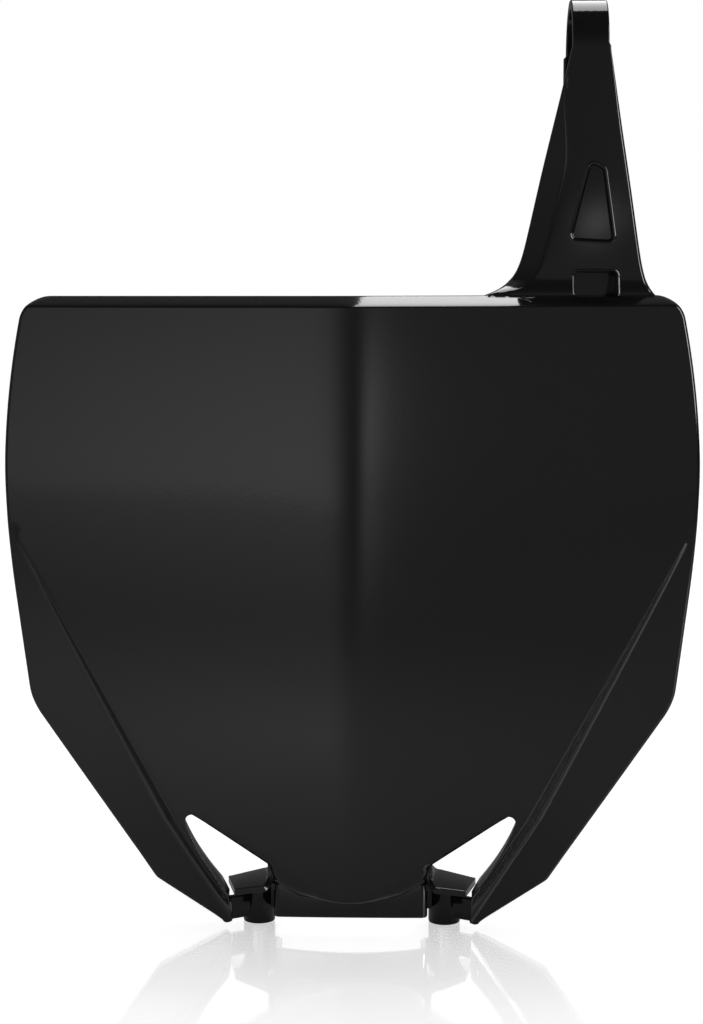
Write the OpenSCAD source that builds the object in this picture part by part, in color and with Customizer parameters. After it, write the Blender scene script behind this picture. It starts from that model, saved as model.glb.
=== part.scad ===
// Front number board of a motocross motorbike, moulded in one piece.
// The board stands upright. Its face looks along -Y, and the arm is on the +X side.
// The origin is at floor level, under the middle of the bounding box.

/* [Board] */
// Width of the board at its widest point
board_w = 240; // [220:1:260]
// Height of the widest point above the feet
wide_z = 154; // [148:1:160]
// Height of the top edge of the face
face_top = 216.6; // [210:0.2:225]
// Radius of the upper part of each side edge
side_r = 300; // [250:10:500]
// Radius of the two top corners
corner_r = 8; // [6:0.5:12]
// Thickness of the moulded wall
wall = 2.4; // [2:0.1:3]

/* [Face] */
// Angle by which each half of the face is swept back from the ridge
sweep = 12; // [8:0.5:16]
// Half width of the rounding on the ridge at the foot of the shield
ridge_soft_low = 4; // [2:0.5:8]
// Half width of the rounding on the ridge at the top of the shield
ridge_soft_top = 9; // [4:0.5:14]
// How far the middle of the face bows forward
bow = 4; // [0:0.5:8]
// Width of the rounding along the side edges
edge_soft = 1.3; // [1:0.1:2]
// Depth of the rounding along the side edges
edge_drop = 1.8; // [1:0.1:3]

/* [Top lip] */
// Height of the lip above the top edge of the face
lip_rise = 3.8; // [3:0.1:6]
// How far the lip turns back
lip_depth = 8; // [5:0.5:10]

/* [Outline] */
// Half width at the knee, where the side edge turns inward
knee_x = 112.5; // [108:0.5:115]
// Height of the knee
knee_z = 79; // [74:1:84]
// Angle of the side edge between the knee and the widest point
side_angle = 6.6; // [5:0.1:8]
// Half width at the heel, where the lower edge turns to the tip
heel_x = 68.8; // [66:0.2:72]
// Height of the heel
heel_z = 16.3; // [14:0.1:19]
// Distance of each tip from the middle
tip_x = 43.7; // [42:0.1:46]
// Height of the tips above the feet
tip_z = 1.5; // [1:0.1:2]

/* [Side steps] */
// Distance from the middle to the step at the top of the air holes
step_x = 60.6; // [59:0.2:63]
// Angle of the step line from the vertical
step_angle = 29.5; // [28:0.5:31]
// Height at which the steps start
step_top = 142; // [136:1:150]
// Depth gained by the step for each millimetre down the board
step_growth = 0.07; // [0.04:0.005:0.09]
// Width of the step wall at its start
step_w = 1.5; // [1:0.1:2.5]
// Width gained by the step wall for each millimetre down the board
step_spread = 0.058; // [0.04:0.002:0.07]

/* [Foot of the shield] */
// Height of the lowest point of the shield
shield_z = 13.8; // [12.5:0.1:15]
// Radius of the shield's lower edge in the middle
shield_r = 85; // [60:5:120]
// Angle of the straight edge above each air hole
hole_angle = 31.8; // [30:0.2:33]
// How far the shield reaches below the line of the air holes' upper edges, between the holes
foot_drop = 5; // [3:0.2:6]
// Depth of the rounded lower border
border_drop = 4; // [2:0.5:5]
// Width of the rounded border along the air holes
border_w = 3; // [2:0.2:4]

/* [Air holes] */
// Distance from the middle to the top of each air hole
hole_x = 54.5; // [54:0.1:55.5]
// Height of the top of each air hole
hole_z = 42.4; // [41:0.2:43.4]
// Radius of the top corner of each air hole
hole_r = 2.5; // [1.6:0.1:3]
// Distance from the middle to each air hole's inner corner
hole_in_x = 28; // [27:0.1:29.4]
// Distance from the middle to the foot of each strut's inner edge
strut_x = 42; // [41.5:0.1:42.5]
// Height of the foot of each strut's inner edge
strut_z = 14.5; // [13.5:0.1:15]
// How far each strut's inner edge bows outward
strut_bow = 1.5; // [0:0.1:2]
// Depth of the flange along each strut, at its deepest
flange_depth = 8.5; // [6:0.5:11]

/* [Sockets] */
// Distance of each socket from the middle
socket_x = 32.8; // [32:0.1:33.6]
// Distance of the sockets behind the tips
socket_y = 12; // [10:0.5:14]
// Outer radius of each socket
socket_r = 5.6; // [5:0.1:6]
// Radius of the bore in each socket
bore_r = 3.1; // [2.5:0.1:3.5]
// Depth of the bore in each socket
bore_depth = 12; // [8:0.5:12.5]
// Height of the web's outer edge above the sockets' feet
web_z = 14.6; // [13.8:0.1:15.4]
// Angle at which the web rises toward the middle
web_angle = 14; // [8:1:18]

/* [Lower band] */
// Radius of the lower band, seen from above
band_r = 115; // [100:5:140]
// Distance of the band's front ahead of the tips
band_y = 5.5; // [4:0.5:7]
// Height of the band's lower edge above the feet, at its ends
band_z = 5.3; // [4:0.1:6]
// Extra height of the band's lower edge in the middle
band_arch = 0.9; // [0.5:0.1:1.5]
// Half width of the band between its side returns
band_x = 26.8; // [26:0.1:27.2]

/* [Arm] */
// Thickness of the arm
arm_wall = 2.6; // [2.2:0.1:3]
// Distance of the arm's face behind the tips, at the neck
arm_y = 13; // [11:0.5:15]
// Distance of the arm's face behind the board's face, at the root
arm_set = 10; // [9:0.5:12]
// Left edge of the arm's root, from the middle of the board
arm_left = 56.1; // [54:0.2:58]
// Angle of the arm's left edge
arm_left_angle = 12.8; // [12:0.1:13.4]
// Right edge of the arm's root, from the middle of the board
arm_right = 101.4; // [100:0.2:103]
// Angle of the arm's right edge
arm_right_angle = 9.1; // [8.6:0.1:9.6]
// Width of the bevel along the arm's left side
bevel_w = 7; // [5:0.5:8]
// Depth of the bevel along the arm's left side
bevel_drop = 7.5; // [5:0.5:9]
// Depth of the recess in the arm's face
recess_depth = 1.2; // [0.8:0.1:1.6]
// Width of the pocket at the arm's root
pocket_w = 15.4; // [13:0.2:17]
// Height of the pocket at the arm's root
pocket_h = 8.6; // [7:0.2:9.4]
// Depth of the pocket at the arm's root
pocket_depth = 5; // [4:0.5:7]

/* [Bar hook] */
// Radius of the handlebar that the hook takes
bar_r = 14.3; // [11.1:0.1:16]
// Gap between the bar and the hook
bar_gap = 0.2; // [0.1:0.05:0.5]
// Thickness of the hook's strap
strap_t = 2.9; // [2.4:0.1:3.4]
// Width of the hook's strap
strap_w = 12.4; // [10:0.2:12.8]
// Left edge of the strap, from the middle of the board
strap_x = 75.2; // [74.6:0.1:76]
// Height of the handlebar's axis above the feet
bar_z = 304.1; // [300:0.5:310]
// Length of the hook's rear leg below the handlebar's axis
leg_l = 24; // [18:1:30]

/* [Hidden] */

lip_z = face_top + lip_rise;
hook_in = bar_r + bar_gap;
hook_out = hook_in + strap_t;
bar_y = arm_y + hook_out;
bar_x = strap_x + strap_w / 2;

// Blends and limits of the outline and of the height field
edge_blend = 3;
heel_blend = 0.6;
foot_blend = 1.5;
border_blend = 3;
border_top_h = 1.4;
border_fade = 6;
border_reach = 12;
ridge_y = -15;
ridge_w = 13;
seam_z = 46;
bend_z = 39.9;
step_full = 25;
strut_angle = 35;
free_z = 100;
crest_gap = 2.2;
lip_soft = 0.15;
corner_w = 2.2;
tip_w = 1.6;
tip_h = 1;
tip_in = 0.4;
skin_limit = 2.2;

// Shape of the arm
root_flare = 11;
root_flare_h = 3.6;
edge_flare_h = 4;
root_h = 6;
neck_h = 45;
bevel_end = 8;
bevel_run = 36;
arm_edge_w = 1.4;
arm_edge_drop = 2.2;
strap_run = 30;
strap_ledge = 0.6;
leg_flare = 0.8;
leg_r = 3.5;
tongue_gap = 0.4;
tongue_h = 3;

// Recess and pocket in the arm
recess_z = 241;
recess_h = 22;
recess_w = 10.7;
recess_top_w = 2.1;
recess_x = 82.55;
recess_r = 1.9;
recess_tilt = 2.9;
pocket_x = 83.7;
pocket_lift = 3.8;
pocket_z = lip_z + pocket_lift;
pocket_r = 1.6;
pocket_wall = 2;

// Web, rib, shelf and flange behind the air holes
turn_r = 3;
rib_h = 8;
rib_w = 2.2;
rib_y = 3;
return_y = -1.8;
web_front = -9.5;
slit = 1.9;
inset = 0.15;
web_over = 4;
web_past = 2;
web_out = strut_x + web_over;
web_rear = socket_y + web_past;
web_bend = hole_in_x + turn_r + 0.4;
bend_top = web_z + tan(web_angle) * (web_out - web_bend);
shelf_low = shield_z + 0.4;
shelf_x = hole_in_x - corner_w;
knee_in = (shelf_low + foot_drop - hole_edge(0)) / tan(hole_angle);
shelf_end = shelf_low + tan(hole_angle) * (shelf_x - knee_in);
flange_y = -4;
reach = 80;
fine = 64;

function mix(a, b, t) = a + (b - a) * t;
function clamp(t) = max(0, min(1, t));
function ease(t) = clamp(t) * clamp(t) * (3 - 2 * clamp(t));
function soft_min(a, b, k) = min(a, b) - pow(max(k - abs(a - b), 0), 2) / (4 * k);
function slope(a, b) = (b[0] - a[0]) / (b[1] - a[1]);
function round_drop(d, w) = d >= w ? 0 : 1 - sqrt(max(0, 1 - pow(1 - max(d, 0) / w, 2)));

// Outline of the board: half width at a height
knee_slope = slope([heel_x, heel_z], [knee_x, knee_z]);
heel_slope = slope([tip_x, tip_z], [heel_x, heel_z]);
function side_x(z) = board_w / 2 - side_r + sqrt(side_r * side_r - pow(max(z - wide_z, 0), 2));
function flank_x(z) = knee_x + tan(side_angle) * (z - knee_z);
function lower_x(z) = soft_min(knee_x + knee_slope * (z - knee_z),
    heel_x + heel_slope * (z - heel_z), heel_blend);
function free_x(z) = soft_min(side_x(z), soft_min(flank_x(z), lower_x(z), edge_blend), edge_blend);
function corner_cut(z) = corner_r - sqrt(corner_r * corner_r - pow(max(z - lip_z + corner_r, 0), 2));
function edge_x(z) = free_x(z) - corner_cut(min(z, lip_z));

// Step line and the width and depth of the step wall
function step_gain(z) = max(0, step_top - max(z, step_full));
function wall_w(z) = step_w + step_spread * max(0, step_top - z);
function step_line(z) = step_x + tan(z > bend_z ? step_angle : strut_angle) * (z - bend_z);
function crest_x(z) = z < free_z ? step_line(z) : min(step_line(z), edge_x(z) - wall_w(z) - crest_gap);

// Lower edge of the shield: a straight edge above each hole, and a lower, rounded edge between the holes
function soft_max(a, b, k) = -soft_min(-a, -b, k);
function hole_edge(x) = hole_z - tan(hole_angle) * (hole_x - abs(x));
function foot_z(x) = mix(soft_max(hole_edge(x) - foot_drop, shield_z + x * x / (2 * shield_r), foot_blend),
    hole_edge(x), ease((abs(x) - hole_in_x + corner_w) / corner_w));
function border_top(x) = soft_max(shield_z + border_top_h, hole_edge(x)
    + border_w * (1 - 0.6 * clamp((abs(x) - hole_in_x) / (hole_x - hole_in_x))), border_blend);

// Front surface of the board, as a depth at each point of the front view
function ridge_soft(z) = mix(ridge_soft_low, ridge_soft_top, z / face_top);
function face_y(x, z) = ridge_y + tan(sweep) * sqrt(x * x + pow(ridge_soft(z), 2))
    - bow * 4 * clamp(z / face_top) * (1 - clamp(z / face_top));
function step_y(x, z) = step_growth * step_gain(z)
    * (1 - pow(1 - clamp((x - crest_x(z)) / wall_w(z)), 2));
function border_y(x, z) = let (h = z - foot_z(x), w = border_top(x) - foot_z(x))
    border_drop * (1 - exp(-w / border_w)) * (1 - ease((x - hole_x) / border_fade + 0.75))
    * ease((h + border_reach) / (border_reach - 2)) * round_drop(h, w);
function edge_y(x, z) = edge_drop * round_drop(edge_x(z) - x, edge_soft);
function lip_y(z) = let (u = max(0, z - face_top) / lip_rise, e = lip_soft)
    lip_depth * (sqrt(u * u + e * e) - e) / (sqrt(1 + e * e) - e);
function board_y(x, z) = face_y(x, z) + step_y(x, z) + border_y(x, z) + edge_y(x, z) + lip_y(z);

// The arm's edges, its face and its bevel
function left_x(z) = min(strap_x,
    arm_left + tan(arm_left_angle) * (z - lip_z) - root_flare * exp((lip_z - z) / root_flare_h));
function right_x(z) = max(strap_x + strap_w + strap_ledge,
    arm_right - tan(arm_right_angle) * (z - lip_z)
    + (edge_x(lip_z) - arm_right) * exp((lip_z - z) / edge_flare_h));
function bevel_share(z) = ease((bar_z - bevel_end - z) / bevel_run);
function bevel_width(z) = max(strap_ledge, bevel_w * bevel_share(z));
function bevel_y(x, z) = bevel_drop * bevel_share(z) * clamp(1 - (x - left_x(z)) / bevel_width(z));
function arm_edge_y(x, z) = arm_edge_drop * ease((bar_z - z) / strap_run)
    * round_drop(right_x(z) - x, arm_edge_w);
function arm_plain_y(x, z) = bevel_y(x, z)
    + mix(face_y(x, lip_z) + arm_set, arm_y, ease((z - lip_z) / neck_h));
function arm_at(x, z) = mix(board_y(x, lip_z), arm_plain_y(x, z), ease((z - lip_z) / root_h));
function sheet_y(x, z) = z > lip_z ? arm_at(x, z) : board_y(abs(x), z);
function front_y(x, z) = sheet_y(x, z) + (z > lip_z ? arm_edge_y(x, z) * ease((z - lip_z) / root_h) : 0);
function steep(x, z) = let (e = 0.05,
    a = (sheet_y(x + e, z) - sheet_y(x - e, z)) / (2 * e),
    b = (sheet_y(x, z) - sheet_y(x, z - e)) / e)
    min(skin_limit, sqrt(1 + a * a + b * b));
function plate_t(z) = z < bar_z - strap_run ? mix(wall, arm_wall, ease((z - lip_z) / root_h))
    : mix(arm_wall, strap_t, ease((z - bar_z + strap_run) / strap_run));
function back_y(x, z) = sheet_y(x, z) + plate_t(z) * steep(x, z);
function front_point(p) = [p[0], front_y(p[0], p[1]), p[1]];
function back_point(p) = [p[0], back_y(p[0], p[1]), p[1]];

// Columns across the board, from the ridge to the outline
ridge_cols = [0, 0.23 * ridge_w, 0.54 * ridge_w, ridge_w];
hole_share = (hole_x - ridge_w) / (step_line(seam_z) - ridge_w);
arm_from = (arm_left - root_flare - ridge_w) / (crest_x(lip_z) - ridge_w);
corner_share = [for (x = [hole_in_x - corner_w, hole_in_x - corner_w / 2, hole_in_x])
    (x - ridge_w) / (step_line(seam_z) - ridge_w)];
face_cols = concat([corner_share[0] / 2], corner_share, [arm_from],
    [for (j = [1:3]) mix(arm_from, hole_share, j / 3)], [(1 + hole_share) / 2, 1]);
wall_cols = [0.14, 0.32, 0.54, 0.78, 1];
hole_col = 11;
function row_x(z) = let (c = crest_x(z), w = wall_w(z), e = edge_x(z), f = c + w)
    concat(ridge_cols,
        [for (s = face_cols) ridge_w + s * (c - ridge_w)],
        [for (s = wall_cols) c + s * w],
        [(f + e - edge_soft) / 2, e - edge_soft, e - 0.45 * edge_soft, e - 0.12 * edge_soft, e]);
cols = len(row_x(seam_z));
hole_px = row_x(seam_z)[hole_col];
hole_top = foot_z(hole_px);
function full_row(z) = let (r = row_x(z))
    concat([for (i = [cols - 1:-1:1]) [-r[i], z]], [for (i = [0:cols - 1]) [r[i], z]]);

// Upper patch, from the seam above the air holes to the end of the lip
corner_rows = [for (a = [0:16:32]) lip_z - corner_r + corner_r * sin(a)];
lip_rows = [for (u = [0, 0.16, 0.4, 0.7, 0.9, 1]) face_top + u * lip_rise];
upper_z = concat([for (k = [0:8]) mix(seam_z, step_top, k / 9)],
    [for (k = [0:5]) mix(step_top, lip_z - corner_r, k / 6)],
    [for (z = corner_rows) if (z < face_top - lip_rise / 8) z], lip_rows);
upper = [for (z = upper_z) full_row(z)];
front_most = min([for (r = upper) for (p = r) front_y(p[0], p[1])]);
rear_most = bar_y + hook_out;

// Shield patch, from the seam down to the shield's lower edge
share = [1, 0.7, 0.42, 0.26, 0.13, 0.04, 0];
seam_row = full_row(seam_z);
mid = cols - 1;
function shield_z_at(x, s) = let (f = foot_z(x), h = seam_z - f, b = min(border_top(x) - f, 0.7 * h))
    s >= 0.42 ? f + b + (h - b) * (s - 0.42) / 0.58 : f + b * s / 0.42;
shield = [for (s = share) [for (i = [mid - hole_col:mid + hole_col])
    let (x = seam_row[i][0]) [x, shield_z_at(x, s)]]];

// Strut and wing patch beside each air hole, from the seam down to the tip
hole_rows = [for (s = share) shield_z_at(hole_px, s)];
hole_c = hole_top - hole_r;
strut_slope = slope([strut_x, strut_z], [hole_px + hole_r, hole_c]);
function inner_x(z) = z >= hole_top ? hole_px
    : z > hole_c ? hole_px + sqrt(max(0, hole_r * hole_r - pow(z - hole_c, 2)))
    : z > strut_z ? let (t = (z - strut_z) / (hole_c - strut_z))
        strut_x + strut_slope * (z - strut_z) + strut_bow * 4 * t * (1 - t)
    : z > tip_z + tip_h ? mix(strut_x - tip_in, strut_x, (z - tip_z - tip_h) / (strut_z - tip_z - tip_h))
    : mix(tip_x - tip_w / 2, strut_x - tip_in, (z - tip_z) / tip_h);
turn_rows = [for (a = [70, 50, 30, 0]) hole_c + hole_r * sin(a)];
strut_rows = [for (k = [1:7]) mix(hole_c, strut_z, k / 7)];
tip_rows = [for (k = [1:5]) mix(strut_z, tip_z + tip_h, k / 5)];
wing_z = concat(hole_rows, turn_rows, strut_rows, tip_rows, [tip_z + 0.4 * tip_h, tip_z]);
function wing_edge(z) = max(edge_x(z), inner_x(z) + tip_w);
function wing_x(z) = let (a = inner_x(z), e = wing_edge(z),
    c = min(max(crest_x(z), a + 0.04 * (e - a)), mix(a, e, 0.45)),
    f = min(max(crest_x(z) + wall_w(z), mix(c, e, 0.3)), mix(c, e, 0.7)), s = min(edge_soft, (e - f) / 2))
    concat([a, (a + c) / 2, c], [for (u = wall_cols) mix(c, f, u)],
        [(f + e - s) / 2, e - s, e - 0.45 * s, e - 0.12 * s, e]);
wing = [for (z = wing_z) z >= hole_top
    ? concat([[hole_px, z]], [for (i = [hole_col + 1:cols - 1]) [row_x(z)[i], z]])
    : [for (x = wing_x(z)) [x, z]]];

// Arm patch, from the end of the lip to the start of the hook
arm_col = 8;
arm_n = cols - 1 - arm_col;
lip_row = [for (i = [arm_col:cols - 1]) [row_x(lip_z)[i], lip_z]];
root_share = [0.08, 0.2, 0.37, 0.6, 0.93, 1.4];
neck_z = [for (k = [0:10]) mix(lip_z + 2 * root_h, bar_z, k / 10)];
arm_z = concat([for (d = root_share) lip_z + d * root_h], neck_z);
arm_share = [for (i = [0:arm_n]) (lip_row[i][0] - lip_row[0][0]) / (lip_row[arm_n][0] - lip_row[0][0])];
function arm_row(z) = let (a = left_x(z), b = right_x(z), w = bevel_width(z), r = ease((z - lip_z) / root_h),
    even = [a, a + w / 2, a + w, for (k = [1:arm_n - 6]) mix(a + w, b - arm_edge_w, k / (arm_n - 6)),
        for (q = [0.64, 0.36, 0.14, 0]) b - q * arm_edge_w])
    [for (i = [0:arm_n]) [mix(mix(a, b, arm_share[i]), even[i], r), z]];
arm = concat([lip_row], [for (z = arm_z) arm_row(z)]);

// One closed skin from the patches and their shared border
function flat(rows) = [for (r = rows) for (p = r) p];
function flip(rows) = [for (r = rows) [for (i = [len(r) - 1:-1:0]) [-r[i][0], r[i][1]]]];
function quads(rows, base, up, back) = let (n = len(rows[0]))
    [for (k = [0:len(rows) - 2]) for (i = [0:n - 2])
        let (a = base + k * n + i, b = a + 1, c = b + n, d = a + n,
            along = (rows[k][i][0] + rows[k][i + 1][0] > 0) == up,
            two = along ? [[a, b, c], [a, c, d]] : [[a, b, d], [b, c, d]])
        each (up == back ? two : [for (f = two) [f[0], f[2], f[1]]])];
function column(rows, i) = [for (r = rows) r[i]];
function back_to_front(list) = [for (i = [len(list) - 1:-1:0]) list[i]];
function tail(list) = [for (i = [1:1:len(list) - 1]) list[i]];

module skin_solid() {
    left_wing = flip(wing);
    top = upper[len(upper) - 1];
    n = len(wing[0]);
    wing_side = column(wing, n - 1);
    inner_side = [for (k = [len(hole_rows) - 1:len(wing) - 1]) wing[k][0]];
    right_rim = concat(tail(wing[len(wing) - 1]), tail(back_to_front(wing_side)),
        tail(column(upper, 2 * cols - 2)));
    arm_rim = concat(tail(column(arm, arm_n)), tail(back_to_front(arm[len(arm) - 1])),
        tail(back_to_front(column(arm, 0))));
    top_rim = [for (i = [mid + arm_col - 1:-1:0]) top[i]];
    foot_rim = shield[len(shield) - 1];
    loop = concat(right_rim, arm_rim, top_rim,
        [for (p = back_to_front(column(upper, 2 * cols - 2))) if (p[1] < lip_z) [-p[0], p[1]]],
        [for (p = tail(wing_side)) [-p[0], p[1]]],
        [for (p = tail(back_to_front(wing[len(wing) - 1]))) [-p[0], p[1]]],
        [for (p = tail(back_to_front(inner_side))) [-p[0], p[1]]],
        tail(foot_rim), tail(inner_side));
    sheets = [upper, shield, wing, left_wing, arm];
    ups = [true, false, false, false, true];
    sizes = [for (s = sheets) len(s) * len(s[0])];
    starts = [for (i = 0, a = 0; i < len(sizes); a = a + sizes[i], i = i + 1) a];
    count = starts[4] + sizes[4];
    points = flat([for (s = sheets) flat(s)]);
    m = len(loop);
    polyhedron(
        points = concat([for (p = points) front_point(p)], [for (p = points) back_point(p)],
            [for (p = loop) front_point(p)], [for (p = loop) back_point(p)]),
        faces = concat(
            [for (i = [0:4]) each quads(sheets[i], starts[i], ups[i], false)],
            [for (i = [0:4]) each quads(sheets[i], count + starts[i], ups[i], true)],
            [for (k = [0:m - 1]) let (a = 2 * count + k, b = 2 * count + (k + 1) % m)
                each [[a, b, b + m], [a, b + m, a + m]]]));
}

// Turns a shape in the front view into a body that reaches from the front to the back
module along_y() {
    translate([0, reach / 2, 0]) rotate([90, 0, 0]) linear_extrude(reach) children();
}

// Lower band between the sockets, with its side returns
module lower_band() {
    shelf_mid = shelf_low + wall / 2;
    side = band_x + wall;
    intersection() {
        linear_extrude(reach) intersection() {
            translate([0, band_r - band_y]) difference() {
                circle(band_r, $fn = 3 * fine);
                circle(band_r - wall, $fn = 3 * fine);
            }
            square(2 * [band_x, band_x], center = true);
        }
        along_y() polygon(concat(
            [for (t = [-1:0.125:1]) [side * t, band_z + band_arch * (1 - pow(t * side / band_x, 2))]],
            [[side, shelf_end], [shelf_x, shelf_end], [knee_in, shelf_mid],
                [-knee_in, shelf_mid], [-shelf_x, shelf_end], [-side, shelf_end]]));
    }
    for (side = [0, 1]) mirror([side, 0, 0]) translate([band_x - wall, 0, band_z]) {
        translate([0, return_y, 0]) cube([wall, socket_y - return_y - 1, shelf_end - band_z]);
        translate([0, socket_y - 1 - wall, 0]) cube([socket_x - band_x, wall, web_z - band_z]);
    }
}

// Shelf behind the shield's lower edge, which joins the shield to the band
module shelf() {
    mid_y = ridge_y + 1.5 * wall;
    end_y = mid_y + tan(sweep) * shelf_x;
    intersection() {
        along_y() polygon([[-shelf_x, shelf_end], [-knee_in, shelf_low], [knee_in, shelf_low],
            [shelf_x, shelf_end], [shelf_x, shelf_end + wall], [knee_in, shelf_low + wall],
            [-knee_in, shelf_low + wall], [-shelf_x, shelf_end + wall]]);
        linear_extrude(reach) polygon([[-shelf_x, end_y], [0, mid_y], [shelf_x, end_y],
            [shelf_x, 1], [0, 0.9 * wall - band_y], [-shelf_x, 1]]);
    }
}

// Profile of the web in the front view: it rises toward the middle and turns up to the shield's edge
module web_profile() {
    in_x = web_bend - turn_r;
    in_z = hole_edge(hole_in_x);
    polygon(concat([[web_out, web_z - wall], [web_out, web_z]],
        [for (a = [0:15:90]) [web_bend - turn_r * sin(a), bend_top + turn_r * (1 - cos(a))]],
        [[in_x, in_z - wall / 4], [in_x - wall, in_z - 0.9 * wall], [in_x - wall, bend_top - wall / 2],
            [in_x + 0.8 * wall, bend_top - wall]]));
}

// Socket with its bore left solid, and the web and rib beside it
module socket() {
    intersection() {
        along_y() web_profile();
        linear_extrude(reach)
            polygon([[band_x - wall, return_y], [hole_in_x + 1, web_front], [strut_x - slit, web_front / 2],
                [strut_x + slit, web_rear], [band_x - wall, web_rear]]);
    }
    intersection() {
        translate([socket_x, socket_y, 0]) cylinder(r = socket_r, h = reach, $fn = fine);
        along_y() polygon([[0, 0], [reach, 0], [reach, web_z - wall / 2], [web_out, web_z - wall / 2],
            [web_bend, bend_top - wall / 2], [0, bend_top - wall / 2]]);
    }
    translate([0, 0, tip_z + tip_h]) linear_extrude(rib_h)
        polygon([[strut_x + 0.8, rib_y], [strut_x + 0.8 + rib_w, rib_y + rib_w],
            [socket_x + rib_w / 2, socket_y], [socket_x - rib_w / 2, socket_y - rib_w]]);
}

// Flange behind each strut's inner edge, deepest above the web and nothing at both ends
module flange() {
    foot = strut_z - 2;
    head = hole_c + 0.6;
    levels = [for (k = [0:8]) mix(foot, head, k / 8)];
    intersection() {
        along_y() polygon(concat([for (z = levels) [inner_x(z) + inset, z]],
            [for (k = [8:-1:0]) [inner_x(levels[k]) + wall, levels[k]]]));
        rotate([90, 0, 90]) linear_extrude(reach)
            polygon([[flange_y, foot], [flange_y, head], [flange_y + wall, head],
                [flange_y + flange_depth, web_z + 1.4 * wall], [flange_y + wall, foot]]);
    }
}

module socket_bore() {
    translate([socket_x, socket_y, -1]) cylinder(r = bore_r, h = bore_depth + 1, $fn = fine);
}

// Hook over the handlebar, open to the rear and below
module bar_hook() {
    leg_w = strap_w + leg_flare;
    translate([strap_x, 0, 0]) rotate([90, 0, 90]) linear_extrude(strap_w) {
        intersection() {
            translate([bar_y, bar_z]) difference() {
                circle(hook_out, $fn = 2 * fine);
                circle(hook_in, $fn = 2 * fine);
            }
            translate([bar_y - hook_out, bar_z]) square([2 * hook_out, hook_out]);
        }
        translate([arm_y + tongue_gap, bar_z - tongue_h])
            square([strap_t - 2 * tongue_gap, tongue_h + tongue_gap]);
    }
    translate([strap_x - leg_flare, bar_y + hook_out, bar_z - leg_l]) rotate([90, 0, 0])
        linear_extrude(strap_t) {
            translate([0, leg_r]) square([leg_w, leg_l - leg_r]);
            translate([leg_r, 0]) square([leg_w - 2 * leg_r, leg_r + 1]);
            for (x = [leg_r, leg_w - leg_r]) translate([x, leg_r]) circle(leg_r, $fn = fine);
        }
}

// Shallow recess in the arm's face, in the shape of a tall trapezium with round corners
module recess_cut() {
    intersection() {
        along_y() translate([recess_x, recess_z]) hull() {
            for (c = [[-recess_w / 2, 0], [recess_w / 2, -0.6],
                    [recess_top_w, recess_h - 1], [0.3, recess_h]])
                translate(c) circle(recess_r, $fn = fine / 2);
        }
        translate([recess_x, arm_y + recess_depth, recess_z - reach / 4]) rotate([0, 0, recess_tilt])
            translate([-reach / 2, -reach / 2, 0]) cube([reach, reach / 2, reach]);
    }
}

// Blind pocket at the arm's root, or the box around it that closes it behind
module pocket_shape(grow, front, rear) {
    w = pocket_w + 2 * grow;
    h = pocket_h + 2 * grow;
    r = pocket_r + grow;
    translate([pocket_x, face_y(pocket_x, lip_z) + arm_set, pocket_z]) rotate([0, 0, sweep])
        translate([0, rear, 0]) rotate([90, 0, 0]) linear_extrude(rear - front) {
            square([w - 2 * r, h], center = true);
            square([w, h - 2 * r], center = true);
            for (x = [-1, 1], z = [-1, 1])
                translate([x * (w / 2 - r), z * (h / 2 - r)]) circle(r, $fn = fine);
        }
}

module number_board() {
    color("#1b1b1d") translate([0, -(front_most + rear_most) / 2, 0]) difference() {
        union() {
            skin_solid();
            lower_band();
            shelf();
            for (side = [0, 1]) mirror([side, 0, 0]) {
                socket();
                flange();
            }
            bar_hook();
            pocket_shape(pocket_wall, 0.6 * arm_wall, pocket_depth + pocket_wall);
        }
        for (side = [0, 1]) mirror([side, 0, 0]) socket_bore();
        recess_cut();
        pocket_shape(0, -arm_set, pocket_depth);
    }
}

number_board();
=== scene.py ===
import math

import bpy
import bmesh
import numpy as np
from mathutils import Vector, Matrix
from mathutils.geometry import delaunay_2d_cdt
from mathutils.kdtree import KDTree


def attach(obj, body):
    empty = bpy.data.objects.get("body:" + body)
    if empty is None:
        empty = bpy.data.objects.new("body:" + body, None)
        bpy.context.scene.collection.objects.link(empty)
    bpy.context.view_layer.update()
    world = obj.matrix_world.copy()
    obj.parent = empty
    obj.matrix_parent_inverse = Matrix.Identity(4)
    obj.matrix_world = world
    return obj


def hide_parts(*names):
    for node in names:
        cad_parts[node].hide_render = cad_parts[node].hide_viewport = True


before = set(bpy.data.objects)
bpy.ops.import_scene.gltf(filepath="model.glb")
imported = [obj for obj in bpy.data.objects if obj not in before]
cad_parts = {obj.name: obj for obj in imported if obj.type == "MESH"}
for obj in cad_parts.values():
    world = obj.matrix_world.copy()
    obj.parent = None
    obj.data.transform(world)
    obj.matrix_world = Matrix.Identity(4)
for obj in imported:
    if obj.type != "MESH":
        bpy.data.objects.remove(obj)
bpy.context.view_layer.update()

# Sizes of the board in millimetres, as in the part's source. Y is counted from the plane of the two tips.
# Facets, top lip and outline
board_w, wide_z, face_top, side_r, corner_r, wall = 240, 154, 216.6, 300, 8, 2.4
sweep, ridge_soft_low, ridge_soft_top, bow = 12, 4, 9, 4
edge_soft, edge_drop = 1.3, 1.8
lip_rise, lip_depth = 3.8, 8
knee_x, knee_z, side_angle, heel_x, heel_z, tip_x, tip_z = 112.5, 79, 6.6, 68.8, 16.3, 43.7, 1.5
# Side steps
step_x, step_angle, step_top, step_growth, step_w, step_spread = 60.6, 29.5, 142, 0.07, 1.5, 0.058
# Lower edge of the shield, air holes and struts
shield_z, shield_r, hole_angle, foot_drop, border_drop, border_w = 13.8, 85, 31.8, 5, 4, 3
hole_x, hole_z, hole_r, hole_in_x = 54.5, 42.4, 2.5, 28
strut_x, strut_z, strut_bow, flange_depth = 42, 14.5, 1.5, 8.5
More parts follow.
